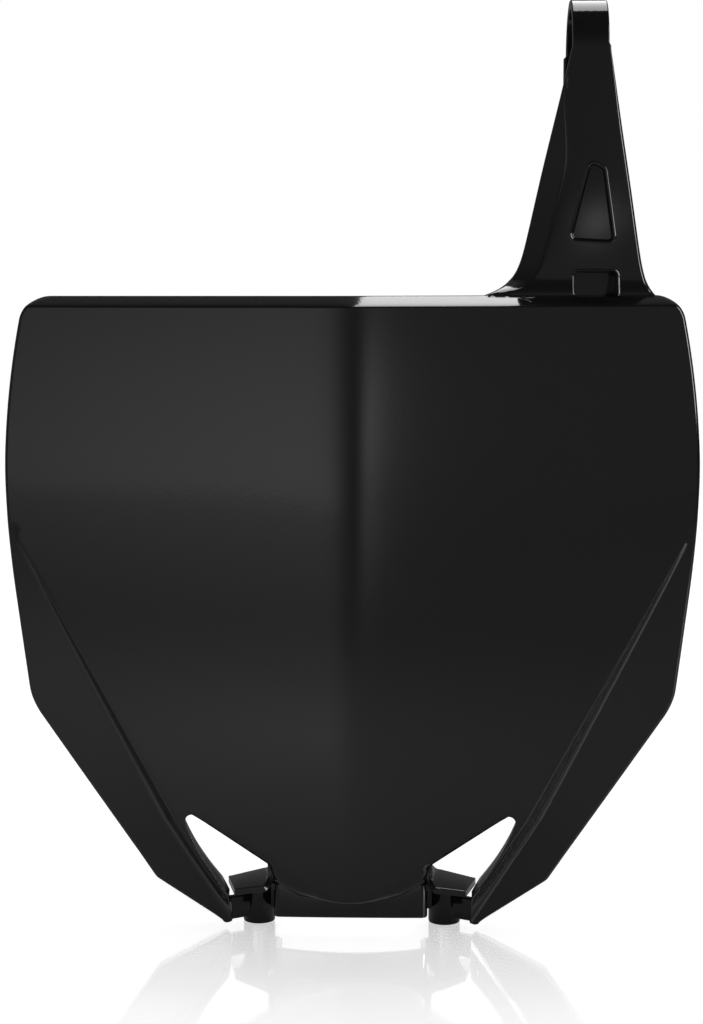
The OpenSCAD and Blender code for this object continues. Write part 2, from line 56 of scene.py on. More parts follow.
# Sockets, webs and lower band
socket_x, socket_y, socket_r, bore_r, bore_depth = 32.8, 12, 5.6, 3.1, 12
web_z, web_angle = 14.6, 14
band_r, band_y, band_z, band_arch, band_x = 115, 5.5, 5.3, 0.9, 26.8
# Arm, with its bevel, recess and pocket
arm_wall, arm_y, arm_set = 2.6, 13, 10
arm_left, arm_left_angle, arm_right, arm_right_angle = 56.1, 12.8, 101.4, 9.1
bevel_w, bevel_drop, recess_depth = 7, 7.5, 1.2
pocket_w, pocket_h, pocket_depth = 15.4, 8.6, 5
# Hook over the handlebar
bar_r, bar_gap, strap_t, strap_w, strap_x, bar_z, leg_l = 14.3, 0.2, 2.9, 12.4, 75.2, 304.1, 24

lip_z = face_top + lip_rise
hook_in = bar_r + bar_gap
hook_out = hook_in + strap_t
bar_y = arm_y + hook_out
# Middle of the bounding box along Y, which is the frame's origin
box_mid_y = 15.0825

# Blends, limits and small sizes, as in the part's source
edge_blend, heel_blend, foot_blend = 3, 0.6, 1.5
border_blend, border_top_h, border_fade, border_reach = 3, 1.4, 6, 12
ridge_y, bend_z, step_full, strut_angle, free_z, crest_gap, lip_soft = -15, 39.9, 25, 35, 100, 2.2, 0.15
corner_w, tip_w, tip_h, tip_in, skin_limit = 2.2, 1.6, 1, 0.4, 2.2
root_flare, root_flare_h, edge_flare_h, root_h, neck_h = 11, 3.6, 4, 6, 45
bevel_end, bevel_run, arm_edge_w, arm_edge_drop = 8, 36, 1.4, 2.2
strap_run, strap_ledge, leg_flare, leg_r = 30, 0.6, 0.8, 3.5
recess_x, recess_z, recess_h, recess_w, recess_top_w, recess_r = 82.55, 241, 22, 10.7, 2.1, 1.9
pocket_x, pocket_lift, pocket_r, pocket_wall = 83.7, 3.8, 1.6, 2
pocket_z = lip_z + pocket_lift
turn_r, rib_h, rib_w, rib_y, return_y, web_front, slit, inset = 3, 8, 2.2, 3, -1.8, -9.5, 1.9, 0.15
flange_y, web_over, web_past = -4, 4, 2

# Small sizes and shares that the source has in its formulas
border_slim, border_lead, border_full, recess_skew = 0.6, 0.75, 2, 0.6
shelf_gap, shelf_rear, web_gap, rib_start = 0.4, 1, 0.4, 0.8
flange_foot, flange_head, flange_knee, side_gap = 2, 0.6, 1.4, 1

# Roundings that only this finer model has: at the front and back rims, along the crests of the steps and
# the bevel, round the recess and the pocket, and on the edges of the parts behind the shield
rim_r, back_rim_r = 0.5, 0.4
crest_soft, bevel_soft = 0.05, 0.05
recess_wall, pocket_slope, wall_start = 0.8, 0.55, 0.18
bead_h, bead_mid, bead_half = 0.2, 0.4, 0.5
band_round, shelf_round, web_round, rib_round, flange_round = 0.45, 0.3, 0.35, 0.4, 0.4
socket_round, bore_round, leg_end_round = 0.45, 0.35, 0.6


# Helpers: angles in degrees, and blends that have no crease
def tan(a): return math.tan(math.radians(a))
def mix(a, b, t): return a + (b - a) * t
def clamp(t): return np.clip(t, 0.0, 1.0)
def ease(t): t = clamp(t); return t * t * (3 - 2 * t)
def soft_min(a, b, k): return np.minimum(a, b) - np.maximum(k - np.abs(a - b), 0) ** 2 / (4 * k)
def soft_max(a, b, k): return -soft_min(-a, -b, k)
def soft_plus(t, e): return (t + np.sqrt(t * t + e * e)) / 2
def round_drop(d, w):
    """Drop of a quarter round at the distance d from an edge, as a share of its height. Its width is w."""
    rest = 1 - np.maximum(d, 0) / w
    return np.where(d >= w, 0, 1 - np.sqrt(np.maximum(0, 1 - rest ** 2)))


# Outline of the board: half width at a height
knee_slope = (heel_x - knee_x) / (heel_z - knee_z)
heel_slope = (tip_x - heel_x) / (tip_z - heel_z)
def side_x(z): return board_w / 2 - side_r + np.sqrt(side_r ** 2 - np.maximum(z - wide_z, 0) ** 2)
def flank_x(z): return knee_x + tan(side_angle) * (z - knee_z)
def lower_x(z):
    return soft_min(knee_x + knee_slope * (z - knee_z), heel_x + heel_slope * (z - heel_z), heel_blend)
def free_x(z): return soft_min(side_x(z), soft_min(flank_x(z), lower_x(z), edge_blend), edge_blend)
def corner_cut(z):
    rise = np.maximum(z - lip_z + corner_r, 0)
    return corner_r - np.sqrt(np.maximum(0, corner_r ** 2 - rise ** 2))
def edge_x(z): return free_x(z) - corner_cut(np.minimum(z, lip_z))
def step_gain(z): return np.maximum(0, step_top - np.maximum(z, step_full))
def wall_w(z): return step_w + step_spread * np.maximum(0, step_top - z)
def step_line(z): return step_x + np.where(z > bend_z, tan(step_angle), tan(strut_angle)) * (z - bend_z)
def crest_x(z):
    limit = edge_x(z) - wall_w(z) - crest_gap
    return np.where(z < free_z, step_line(z), np.minimum(step_line(z), limit))


# Lower edge of the shield
def hole_edge(x): return hole_z - tan(hole_angle) * (hole_x - np.abs(x))
def foot_z(x):
    low = soft_max(hole_edge(x) - foot_drop, shield_z + x * x / (2 * shield_r), foot_blend)
    return mix(low, hole_edge(x), ease((np.abs(x) - hole_in_x + corner_w) / corner_w))
def border_top(x):
    share = clamp((np.abs(x) - hole_in_x) / (hole_x - hole_in_x))
    above_hole = hole_edge(x) + border_w * (1 - border_slim * share)
    return soft_max(shield_z + border_top_h + 0 * x, above_hole, border_blend)


# Front surface as a depth at each point of the front view, without the rounding of the rims
def face_y(x, z):
    soft = mix(ridge_soft_low, ridge_soft_top, z / face_top)
    u = clamp(z / face_top)
    return ridge_y + tan(sweep) * np.sqrt(x * x + soft ** 2) - bow * 4 * u * (1 - u)
def step_y(x, z):
    u = np.minimum(soft_plus((x - crest_x(z)) / wall_w(z), crest_soft), 1)
    return step_growth * step_gain(z) * (1 - (1 - u) ** 2)
def border_y(x, z):
    h, w = z - foot_z(x), border_top(x) - foot_z(x)
    return (border_drop * (1 - np.exp(-w / border_w)) * (1 - ease((x - hole_x) / border_fade + border_lead))
            * ease((h + border_reach) / (border_reach - border_full)) * round_drop(h, np.maximum(w, 0.01)))
def lip_y(z):
    u = np.maximum(0, z - face_top) / lip_rise
    return lip_depth * (np.sqrt(u * u + lip_soft ** 2) - lip_soft) / (math.sqrt(1 + lip_soft ** 2) - lip_soft)
def board_y(x, z): return face_y(x, z) + step_y(x, z) + border_y(x, z) + lip_y(z)


# Arm: its edges, its bevel and its face
def left_x(z):
    flare = root_flare * np.exp((lip_z - z) / root_flare_h)
    return np.minimum(strap_x, arm_left + tan(arm_left_angle) * (z - lip_z) - flare)
def right_x(z):
    flare = (edge_x(lip_z) - arm_right) * np.exp((lip_z - z) / edge_flare_h)
    return np.maximum(strap_x + strap_w + strap_ledge, arm_right - tan(arm_right_angle) * (z - lip_z) + flare)
def bevel_share(z): return ease((bar_z - bevel_end - z) / bevel_run)
def bevel_width(z): return np.maximum(strap_ledge, bevel_w * bevel_share(z))
def bevel_y(x, z):
    t = 1 - (x - left_x(z)) / bevel_width(z)
    return bevel_drop * bevel_share(z) * np.minimum(soft_plus(t, bevel_soft), 1)
def arm_plain_y(x, z):
    return bevel_y(x, z) + mix(face_y(x, lip_z) + arm_set, arm_y, ease((z - lip_z) / neck_h))
def arm_at(x, z): return mix(board_y(x, lip_z + 0 * z), arm_plain_y(x, z), ease((z - lip_z) / root_h))
def sheet_y(x, z):
    return np.where(z > lip_z, arm_at(x, np.maximum(z, lip_z)), board_y(np.abs(x), np.minimum(z, lip_z)))


# Recess and pocket in the arm. Their distances to the rim are negative inside.
recess_corners = [(-recess_w / 2, 0), (recess_w / 2, -recess_skew),
                  (recess_top_w, recess_h - 1), (0.3, recess_h)]
def polygon_distance(x, z, corners):
    d = np.full(np.shape(x), 1e9)
    inside = np.ones(np.shape(x), bool)
    for (ax, az), (bx, bz) in zip(corners, corners[1:] + corners[:1]):
        ex, ez = bx - ax, bz - az
        t = clamp(((x - ax) * ex + (z - az) * ez) / (ex * ex + ez * ez))
        d = np.minimum(d, np.hypot(x - ax - t * ex, z - az - t * ez))
        inside &= ex * (z - az) - ez * (x - ax) > 0
    return np.where(inside, -d, d)
def recess_d(x, z): return polygon_distance(x - recess_x, z - recess_z, recess_corners) - recess_r
def pocket_d(x, z):
    qx = np.abs(x - pocket_x) - pocket_w / 2 * math.cos(math.radians(sweep)) + pocket_r
    qz = np.abs(z - pocket_z) - pocket_h / 2 + pocket_r
    return np.hypot(np.maximum(qx, 0), np.maximum(qz, 0)) + np.minimum(np.maximum(qx, qz), 0) - pocket_r
def pocket_floor(x):
    return (face_y(x * 0 + pocket_x, lip_z) + arm_set + tan(sweep) * (x - pocket_x)
            + pocket_depth / math.cos(math.radians(sweep)))
def bead(d): return bead_h * np.maximum(0, 1 - ((d - bead_mid) / bead_half) ** 2) ** 2
def base_front(x, z):
    y = sheet_y(x, z) - bead(recess_d(x, z)) - bead(pocket_d(x, z))
    y = y + recess_depth * ease(-recess_d(x, z) / recess_wall)
    return mix(y, np.maximum(pocket_floor(x), y), ease(wall_start - pocket_d(x, z) / pocket_slope))


# Back surface: the skin is thicker along Y where it is steep, and the pocket's box stands out of it
def steep(x, z, e=0.05):
    a = (sheet_y(x + e, z) - sheet_y(x - e, z)) / (2 * e)
    b = (sheet_y(x, z) - sheet_y(x, z - e)) / e
    return np.minimum(skin_limit, np.sqrt(1 + a * a + b * b))
def plate_t(z):
    return np.where(z < bar_z - strap_run, mix(wall, arm_wall, ease((z - lip_z) / root_h)),
                    mix(arm_wall, strap_t, ease((z - bar_z + strap_run) / strap_run)))
def base_back(x, z):
    y = sheet_y(x, z) + plate_t(z) * steep(x, z)
    box = ease(wall_start - (pocket_d(x, z) - pocket_wall) / pocket_slope)
    return mix(y, np.maximum(pocket_floor(x) + pocket_wall, y), box)


# Outline of the whole skin in the front view, as one loop of points with its roundings
def resample(points, step):
    """Points at even distances along a line, with its two ends."""
    p = np.array(points, float)
    s = np.concatenate([[0], np.cumsum(np.hypot(*np.diff(p, axis=0).T))])
    n = max(1, int(round(s[-1] / step)))
    t = np.linspace(0, s[-1], n + 1)
    return np.column_stack([np.interp(t, s, p[:, 0]), np.interp(t, s, p[:, 1])])


hole_c = hole_z - hole_r
strut_slope = (strut_x - hole_x - hole_r) / (strut_z - hole_c)
def inner_x(z):
    """Inner edge of the strut, and of the tip below it."""
    t = (z - strut_z) / (hole_c - strut_z)
    strut = strut_x + strut_slope * (z - strut_z) + strut_bow * 4 * t * (1 - t)
    toe = mix(strut_x - tip_in, strut_x, (z - tip_z - tip_h) / (strut_z - tip_z - tip_h))
    return np.where(z > strut_z, strut, np.where(z > tip_z + tip_h, toe,
                    mix(tip_x - tip_w / 2, strut_x - tip_in, (z - tip_z) / tip_h)))


def along_x(fn, a, b, n=600):
    x = np.linspace(a, b, n)
    return np.column_stack([x, fn(x)])


def along_z(fn, a, b, n=600):
    z = np.linspace(a, b, n)
    return np.column_stack([fn(z), z])


step_len, foot_step, turn_step = 1.0, 1.3, 0.45
turn_from, turn_to = hole_in_x - corner_w - 0.6, hole_in_x + 0.4
foot = resample(along_x(foot_z, 0, turn_from), foot_step)
turn = resample(along_x(foot_z, turn_from, turn_to), turn_step)
above = resample(along_x(foot_z, turn_to, hole_x), step_len)
top_turn = np.array([(hole_x + hole_r * math.sin(a), hole_c + hole_r * math.cos(a))
                     for a in np.linspace(0, math.pi / 2, 9)])
strut = resample(along_z(inner_x, hole_c - 0.01, tip_z + tip_h), step_len)
# The tip's round foot, from its inner side to its outer side
toe = np.array([(float(inner_x(tip_z + tip_h)), tip_z + tip_h), (tip_x - 0.8 * tip_w, tip_z + 0.5 * tip_h),
                (tip_x - 0.5 * tip_w, tip_z + 0.15 * tip_h), (tip_x - 0.1 * tip_w, tip_z),
                (tip_x + 0.5 * tip_w, tip_z + 0.05 * tip_h)])
def side_edge(z): return np.maximum(edge_x(z), inner_x(z) + tip_w)
side = resample(along_z(side_edge, tip_z + 0.5 * tip_h, lip_z, 4000), step_len)
half = np.vstack([foot, turn[1:], above[1:], top_turn[1:], strut[1:], toe[1:], side[1:]])
side_start = len(half) - len(side) + 1

arm_right_edge = resample(along_z(right_x, lip_z, bar_z, 2000), step_len)
arm_left_edge = resample(along_z(left_x, bar_z, lip_z, 2000), step_len)
# Where the points inside the rim stand, as shares of the rounding's width
share = np.array([0.03, 0.12, 0.28, 0.52, 1.0])
strap_l, strap_r = float(left_x(bar_z)), float(right_x(bar_z))
strap_flat = np.linspace(strap_l + 2.5 * rim_r, strap_r - 2.5 * rim_r, 13)
strap_in = np.concatenate([[strap_l], strap_l + share * rim_r, strap_flat,
                           strap_r - (share * rim_r)[::-1], [strap_r]])
lip_line = resample([(float(left_x(lip_z)), lip_z), (-float(edge_x(lip_z)), lip_z)], step_len)
mirror = half[::-1] * [-1, 1]

arm_top = np.column_stack([strap_in[::-1], np.full(len(strap_in), bar_z)])
loop = np.vstack([half, arm_right_edge[1:], arm_top[1:], arm_left_edge[1:], lip_line[1:], mirror[1:-1]])
n_right = len(half) + len(arm_right_edge) - 1
top_ids = list(range(n_right - 1, n_right - 1 + len(strap_in)))

# Width and height of the rim's rounding at each point, and the share of the wings' wide rim
rim_w = np.full(len(loop), rim_r)
rim_h = np.full(len(loop), rim_r)
rim_k = np.zeros(len(loop))
for i, (x, z) in enumerate(loop):
    if side_start <= i < len(half) or side_start <= len(loop) - i < len(half):
        rim_w[i], rim_h[i], rim_k[i] = edge_soft, edge_drop, 1
    elif len(half) <= i < top_ids[0]:
        f = float(ease((bar_z - z) / strap_run)) * float(ease((z - lip_z) / root_h + 0.3))
        rim_w[i], rim_h[i] = mix(rim_r, arm_edge_w, f), mix(rim_r, arm_edge_drop, f)
kernel = np.full(7, 1 / 7)
def soften(a): return np.convolve(np.concatenate([a[-3:], a, a[:3]]), kernel, "valid")
rim_w, rim_h, rim_k = soften(rim_w), soften(rim_h), soften(rim_k)

# Inward normal of the loop at each of its points
nxt, prv = np.roll(loop, -1, axis=0), np.roll(loop, 1, axis=0)
e1, e0 = nxt - loop, loop - prv
e1, e0 = e1 / np.hypot(*e1.T)[:, None], e0 / np.hypot(*e0.T)[:, None]
n1, n0 = np.column_stack([-e1[:, 1], e1[:, 0]]), np.column_stack([-e0[:, 1], e0[:, 0]])
inward = n1 + n0
inward /= np.hypot(*inward.T)[:, None]
mitre = np.clip(1 / np.maximum(np.sum(inward * n1, axis=1), 0.4), 1, 2)
for i in (top_ids[0], top_ids[-1]):
    inward[i] = [-1, 0] if i == top_ids[0] else [1, 0]
    mitre[i] = 1
inner_top = set(top_ids[1:-1])
rim_ids = [i for i in range(len(loop)) if i not in inner_top]
rim_tree = KDTree(len(rim_ids))
for i in rim_ids:
    rim_tree.insert((loop[i][0], loop[i][1], 0), i)
rim_tree.balance()


# Points farther from the rim than rim_reach aren't rounded, and get the distance far_off
rim_reach, far_off = 4, 99.0


def to_rim(points):
    """Distance to the rim, its direction inward and its rounding, at each point."""
    d, direction = np.full(len(points), far_off), np.zeros((len(points), 2))
    w, h, k = np.ones(len(points)), np.zeros(len(points)), np.zeros(len(points))
    for j, (x, z) in enumerate(points):
        _, i, far = rim_tree.find((x, z, 0))
        if far > rim_reach:
            continue
        best = None
        for a in (i - 1, i):
            b = (a + 1) % len(loop)
            a %= len(loop)
            if a in inner_top or b in inner_top:
                continue
            seg = loop[b] - loop[a]
            t = float(((x - loop[a][0]) * seg[0] + (z - loop[a][1]) * seg[1]) / (seg @ seg))
            t = min(1, max(0, t))
            q = loop[a] + t * seg
            gap = math.hypot(x - q[0], z - q[1])
            if best is None or gap < best[0]:
                best = (gap, a, b, t)
        if best is None:
            continue
        gap, a, b, t = best
        d[j] = gap
        direction[j] = mix(inward[a], inward[b], t)
        w[j], h[j], k[j] = (mix(v[a], v[b], t) for v in (rim_w, rim_h, rim_k))
    return d, direction, w, h, k


def inside_loop(points, ring):
    """Which of the points lie inside a closed ring. They are taken in blocks, to save memory."""
    block = 4000
    out = np.zeros(len(points), bool)
    a, b = ring, np.roll(ring, -1, axis=0)
    for s in range(0, len(points), block):
        p = points[s:s + block]
        up = (a[None, :, 1] > p[:, None, 1]) != (b[None, :, 1] > p[:, None, 1])
        dz = np.where(b[:, 1] == a[:, 1], 1e-12, b[:, 1] - a[:, 1])
        cross = (b[:, 0] - a[:, 0]) * (p[:, None, 1] - a[None, :, 1]) / dz + a[:, 0]
        out[s:s + block] = np.sum(up & (p[:, None, 0] < cross), axis=1) % 2 == 1
    return out


def offset_lines():
    """Rings of points inside the rim, at the shares of the rounding's width."""
    lines = []
    for s in share:
        line = []
        for i in range(len(loop)):
            if i in inner_top or i in (top_ids[0], top_ids[-1]):
                line.append(None)
                continue
            d = s * rim_w[i]
            p = loop[i] + inward[i] * d * mitre[i]
            too_near = rim_tree.find((p[0], p[1], 0))[2] <= 0.8 * d
            line.append(None if too_near else p)
        lines.append(line)
    return lines


# Distances from the rims of recess, pocket and pocket box at which rings of points lie
recess_rings = (0.95, 0.7, 0.5, 0.3, 0.1, -0.06, -0.2, -0.36, -0.52, -0.68, -0.85)
pocket_rings = (0.95, 0.7, 0.5, 0.3, 0.16, 0.05, -0.06, -0.2, -0.36, -0.5)
box_rings = [pocket_wall + d for d in (0.4, 0.18, 0.06, -0.06, -0.2, -0.36, -0.5)]
ring_step = 0.6


def feature_lines(fine):
    """Lines where the front turns quickly: step walls, lip, bevel, and the rims of recess and pocket."""
    out = []
    zs = np.arange(3, step_top - 3, 1.1 if fine else 3)
    wall_shares = (-0.1, -0.04, 0, 0.05, 0.13, 0.3, 0.5, 0.75, 1.0) if fine else (0, 0.3, 0.65, 1.0)
    for sx in (-1, 1):
        for u in wall_shares:
            out.append(np.column_stack([sx * (crest_x(zs) + u * wall_w(zs)), zs]))
    lip_shares = (-0.05, 0.05, 0.12, 0.22, 0.36, 0.55, 0.75) if fine else (0, 0.15, 0.5)
    for u in lip_shares:
        z = face_top + u * lip_rise
        edge = float(edge_x(z)) - 1.2 * edge_soft
        out.append(resample([(-edge, z), (edge, z)], 1.4 if fine else 3))
    zs = np.arange(lip_z + 0.5, bar_z - bevel_end - 6, 1.0)
    for u in ((-0.1, -0.03, 0.03, 0.1) if fine else (0,)):
        out.append(np.column_stack([left_x(zs) + bevel_width(zs) * (1 + u), zs]))
    if fine:
        out += rings(recess_d, (recess_x, recess_z + recess_h / 2), recess_rings)
        out += rings(pocket_d, (pocket_x, pocket_z), pocket_rings)
    else:
        out += rings(pocket_d, (pocket_x, pocket_z), box_rings)
    return out


def rings(distance, centre, levels):
    """Closed contours of a distance function around a centre, found by halving each ray 40 times."""
    out = []
    for level in levels:
        a = np.linspace(0, 2 * math.pi, 721)
        lo, hi = np.zeros(len(a)), np.full(len(a), 30.0)
        for _ in range(40):
            m = (lo + hi) / 2
            inside = distance(centre[0] + m * np.cos(a), centre[1] + m * np.sin(a)) < level
            lo, hi = np.where(inside, m, lo), np.where(inside, hi, m)
        contour = np.column_stack([centre[0] + lo * np.cos(a), centre[1] + lo * np.sin(a)])
        out.append(resample(contour, ring_step))
    return out


# Least distance of a feature's points from the rim's points, and of the grid's points from all others (as a
# share of the grid's spacing). The grid is finer from arm_from_z up and from arm_from_x to the right.
feature_gap, grid_gap = 0.35, 0.5
arm_from_z, arm_from_x, grid_limit = lip_z - 5, 40, 121
front_grid, front_arm_grid, back_grid, back_arm_grid = 1.9, 1.1, 3.2, 2.2
# Rings along the hook's arc and its rear leg, and the runs in which the strap's ledge ends and the leg flares
arc_from, arc_rings, leg_rings, leg_corner_rings = 1.5, 72, 12, 14
ledge_run, flare_run = 0.06, 0.9


def sheet(fine, spacing, arm_spacing):
    """Triangles of one side of the skin in the front view, with the rim's points first."""
    points, edges = [tuple(p) for p in loop], []
    for line in offset_lines():
        last = None
        for p in line:
            if p is None:
                last = None
                continue
            points.append(tuple(p))
            if last is not None:
                edges.append((last, len(points) - 1))
            last = len(points) - 1
    rim_points = len(points)
    near = KDTree(rim_points)
    for i, p in enumerate(points):
        near.insert((p[0], p[1], 0), i)
    near.balance()
    taken = list(points)
    for line in feature_lines(fine):
        ok = inside_loop(line, loop)
        closed = np.hypot(*(line[0] - line[-1])) < 1e-6
        last = first = None
        n = len(line) - 1 if closed else len(line)
        for j in range(n):
            p = line[j]
            if not ok[j] or near.find((p[0], p[1], 0))[2] < feature_gap:
                last = None
                continue
            points.append(tuple(p))
            taken.append(tuple(p))
            if last is not None:
                edges.append((last, len(points) - 1))
            if j == 0:
                first = len(points) - 1
            last = len(points) - 1
        if closed and first is not None and last is not None:
            edges.append((last, first))
    tree = KDTree(len(taken))
    for i, p in enumerate(taken):
        tree.insert((p[0], p[1], 0), i)
    tree.balance()
    grid = []
    areas = ((0, arm_from_z, -grid_limit, grid_limit, spacing),
             (arm_from_z, bar_z, arm_from_x, grid_limit, arm_spacing),
             (arm_from_z, lip_z, -grid_limit, arm_from_x, spacing))
    for z_lo, z_hi, x_lo, x_hi, s in areas:
        rows = max(1, int((z_hi - z_lo) / (s * 0.866)))
        for r in range(rows):
            z = z_lo + (r + 0.5) * (z_hi - z_lo) / rows
            xs = np.arange(x_lo + (r % 2) * s / 2, x_hi, s)
            grid.append(np.column_stack([xs, np.full(len(xs), z), np.full(len(xs), s)]))
    grid = np.vstack(grid)
    grid = grid[inside_loop(grid[:, :2], loop)]
    for x, z, s in grid:
        if tree.find((x, z, 0))[2] > grid_gap * s:
            points.append((x, z))
    verts, _, faces, origin, _, _ = delaunay_2d_cdt([Vector(p) for p in points], edges,
                                                    [list(range(len(loop)))], 1, 1e-5)
    xz = np.array([tuple(v) for v in verts])
    rim_of = {}
    for i, found in enumerate(origin):
        for j in found:
            if j < len(loop):
                rim_of[j] = i
    return xz, [tuple(f) for f in faces], rim_of


def slope_of(fn, x, z, e=0.02):
    return (fn(x + e, z) - fn(x - e, z)) / (2 * e), (fn(x, z + e) - fn(x, z - e)) / (2 * e)


def place(xz, front):
    """Depth and normal of each point on the front or the back of the skin."""
    x, z = xz[:, 0], xz[:, 1]
    d, direction, w, h, k = to_rim(xz)
    t = np.clip(d / w, 0, 1)
    if front:
        y = base_front(x, z) + h * round_drop(d, w)
        gx, gz = slope_of(base_front, x, z)
        rate = -h / w * (1 - t) / np.sqrt(np.maximum(1e-4, 1 - (1 - t) ** 2))
    else:
        tb = np.clip(d / back_rim_r, 0, 1)
        gain = edge_drop + wall * (skin_limit - 1)
        y = base_back(x, z) + k * gain * (1 - t) ** 2 - back_rim_r * round_drop(d, back_rim_r)
        gx, gz = slope_of(base_back, x, z)
        rate = -2 * k * gain * (1 - t) / w + (1 - tb) / np.sqrt(np.maximum(1e-4, 1 - (1 - tb) ** 2))
    near = d < far_off
    gx, gz = gx + rate * direction[:, 0] * near, gz + rate * direction[:, 1] * near
    normal = np.column_stack([gx, -np.ones(len(x)), gz]) * (1 if front else -1)
    on_rim = d < 1e-4
    normal[on_rim] = np.column_stack([-direction[on_rim, 0], np.zeros(on_rim.sum()), -direction[on_rim, 1]])
    normal /= np.linalg.norm(normal, axis=1)[:, None]
    return np.column_stack([x, y, z]), normal


def metres(p):
    """The frame's metres from the millimetres above."""
    return (np.asarray(p, float) - [0, box_mid_y, 0]) / 1000


def object_from(name, verts, faces, normals=None):
    mesh = bpy.data.meshes.new(name)
    mesh.from_pydata([tuple(v) for v in metres(verts)], [], faces)
    mesh.validate()
    for p in mesh.polygons:
        p.use_smooth = True
    if normals is not None:
        mesh.normals_split_custom_set_from_vertices([tuple(n) for n in normals])
    obj = bpy.data.objects.new(name, mesh)
    bpy.context.scene.collection.objects.link(obj)
    return obj


def turned(xz, faces, front):
    """Faces that all look forward or all look back."""
    out = []
    for f in faces:
        a, b, c = (xz[i] for i in f)
        left_turn = (b[0] - a[0]) * (c[1] - a[1]) - (b[1] - a[1]) * (c[0] - a[0]) > 0
        out.append(f if left_turn == front else f[::-1])
    return out


def build_shell():
    """The skin's two sides, joined along the outline, and the hook that goes on from the arm's end."""
    fxz, ffaces, frim = sheet(True, front_grid, front_arm_grid)
    bxz, bfaces, brim = sheet(False, back_grid, back_arm_grid)
    fv, fn = place(fxz, True)
    bv, bn = place(bxz, False)
    base = len(fv)
    faces = turned(fxz, ffaces, True) + [tuple(base + i for i in f) for f in turned(bxz, bfaces, False)]
    for i in range(len(loop)):
        j = (i + 1) % len(loop)
        if i in top_ids[:-1]:
            continue
        faces.append((frim[j], frim[i], base + brim[i], base + brim[j]))

    # Hook: rings over the bar and down the rear leg
    first = [frim[i] for i in top_ids[::-1]] + [base + brim[i] for i in top_ids]
    n_top = len(top_ids)
    all_v = np.vstack([fv, bv])
    x0 = all_v[first, 0]
    depth_f = all_v[first[:n_top], 1] - arm_y
    depth_b = arm_y + strap_t - all_v[first[n_top:], 1]
    ring_v, ring_n = [], []
    leg_side = np.linspace(2, leg_l - leg_r, leg_rings)
    leg_corner = leg_l - leg_r + leg_r * np.sin(np.linspace(0.15, 1.5708, leg_corner_rings))
    path = [("arc", a) for a in np.radians(np.linspace(arc_from, 180, arc_rings))]
    path += [("leg", s) for s in np.concatenate([[0.4, 0.9], leg_side, leg_corner])]
    for kind, s in path:
        arc = s if kind == "arc" else math.pi
        down = 0 if kind == "arc" else s
        out = np.array([-math.cos(arc), math.sin(arc)])
        lo, hi = strap_x, strap_x + strap_w + strap_ledge * (1 - float(ease(arc / ledge_run)))
        if kind == "leg":
            lo -= leg_flare * float(ease(down / flare_run))
            rise = max(0, down - leg_l + leg_r)
            cut = leg_r - math.sqrt(max(0, leg_r ** 2 - rise ** 2))
            lo, hi = lo + cut, hi - cut
        left = leg_l - down
        thin = leg_end_round * float(round_drop(np.array(left), leg_end_round))
        tilt = 0.0 if left >= leg_end_round else math.asin(min(1, 1 - left / leg_end_round))
        x = lo + (x0 - strap_l) / (strap_r - strap_l) * (hi - lo)
        sides = ((slice(0, n_top), depth_f, True), (slice(n_top, 2 * n_top), depth_b, False))
        for half_ring, depth, outer in sides:
            q = depth + thin
            radius = hook_out - q if outer else hook_in + q
            yz = np.array([bar_y, bar_z])[None] + radius[:, None] * out[None] - [0, down]
            ring_v.append(np.column_stack([x[half_ring], yz]))
            width = rim_r if outer else back_rim_r
            xs = x0[half_ring]
            gap = np.minimum(xs - strap_l, strap_r - xs)
            sin = np.clip(1 - gap / width, 0, 1) * np.where(xs < (strap_l + strap_r) / 2, -1, 1)
            cos = np.sqrt(1 - sin ** 2)
            n = out if outer else -out
            low = np.array([0, -math.sin(tilt)])
            nyz = n * math.cos(tilt)
            ring_n.append(np.column_stack([sin, cos[:, None] * nyz[None] + low[None] * cos[:, None]]))
    ring_v, ring_n = np.vstack(ring_v), np.vstack(ring_n)
    count = 2 * n_top
    start = len(all_v)
    rings_all = [first] + [list(range(start + k * count, start + (k + 1) * count)) for k in range(len(path))]
    for a, b in zip(rings_all, rings_all[1:]):
        for i in range(count):
            j = (i + 1) % count
            faces.append((a[i], a[j], b[j], b[i]))
    faces.append(tuple(rings_all[-1]))
    all_v = np.vstack([all_v, ring_v])
    all_n = np.vstack([fn, bn, ring_n])
    all_n /= np.linalg.norm(all_n, axis=1)[:, None]
    return object_from("board_shell", all_v, faces, all_n)


# Parts behind and below the shield, as ribbons with round corners
def ring_of(a, b, lo, hi, axis_points, r):
    """Round-cornered rectangle between the points a and b, from lo to hi along the third axis."""
    a, b = np.asarray(a, float), np.asarray(b, float)
    t = b - a
    length = max(np.linalg.norm(t), 1e-6)
    r = min(r, 0.45 * length, 0.45 * max(hi - lo, 1e-4))
    t = t / length
    out = []
    for cx, cy, s in ((length - r, hi - r, 0), (r, hi - r, 90), (r, lo + r, 180), (length - r, lo + r, 270)):
        for k in range(4):
            g = math.radians(s + 30 * k)
            u, v = cx + r * math.cos(g), cy + r * math.sin(g)
            out.append(axis_points(a + t * u, v))
    return out


def loft(rings_list):
    """Closed tube through rings of the same number of points."""
    n = len(rings_list[0])
    verts = [p for r in rings_list for p in r]
    faces = [(k * n + i, k * n + (i + 1) % n, (k + 1) * n + (i + 1) % n, (k + 1) * n + i)
             for k in range(len(rings_list) - 1) for i in range(n)]
    faces += [tuple(range(n))[::-1], tuple(range((len(rings_list) - 1) * n, len(rings_list) * n))]
    return verts, faces


pieces = []
def add(shape, mirrored=False):
    """Keep a shape for the foot frame, and its mirror image too where the part has one on each side."""
    verts, faces = shape
    verts = np.asarray(verts, float)
    pieces.append((verts, faces))
    if mirrored:
        pieces.append((verts * [-1, 1, 1], faces))


